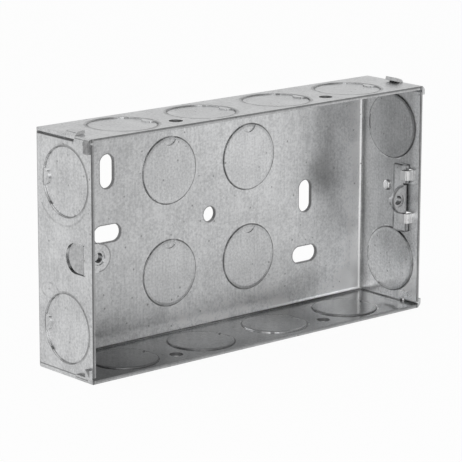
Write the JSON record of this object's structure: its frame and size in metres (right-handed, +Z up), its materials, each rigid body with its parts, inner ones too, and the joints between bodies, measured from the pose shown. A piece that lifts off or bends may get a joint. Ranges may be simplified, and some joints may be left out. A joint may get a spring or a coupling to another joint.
{
  "type": "flush back box",
  "caption": "Shallow folded steel wall box for a twin wiring accessory, with round knock-outs, fixing slots, a fixed screw lug and a sliding screw lug.",
  "frame": {"origin": "centre of the back plate on its wall side, on the axis of the centre hole", "axes": "+X right and +Z up as seen from the open front, +Y from the open front towards the wall behind the box"},
  "size_m": [0.1342, 0.027, 0.0738],
  "materials": {
    "galvanised_sheet": "galvanised, semi-gloss",
    "galvanised_lug": "galvanised, semi-gloss"
  },
  "bodies": {
    "box": {"back_box": "galvanised_sheet"},
    "lug": {"adjustable_lug": "galvanised_lug"}
  },
  "joints": [
    {"name": "lug_slide", "type": "slide", "parent": "box", "child": "lug", "axis": [0, 0, 1], "range_m": [0, 0.0015]}
  ]
}
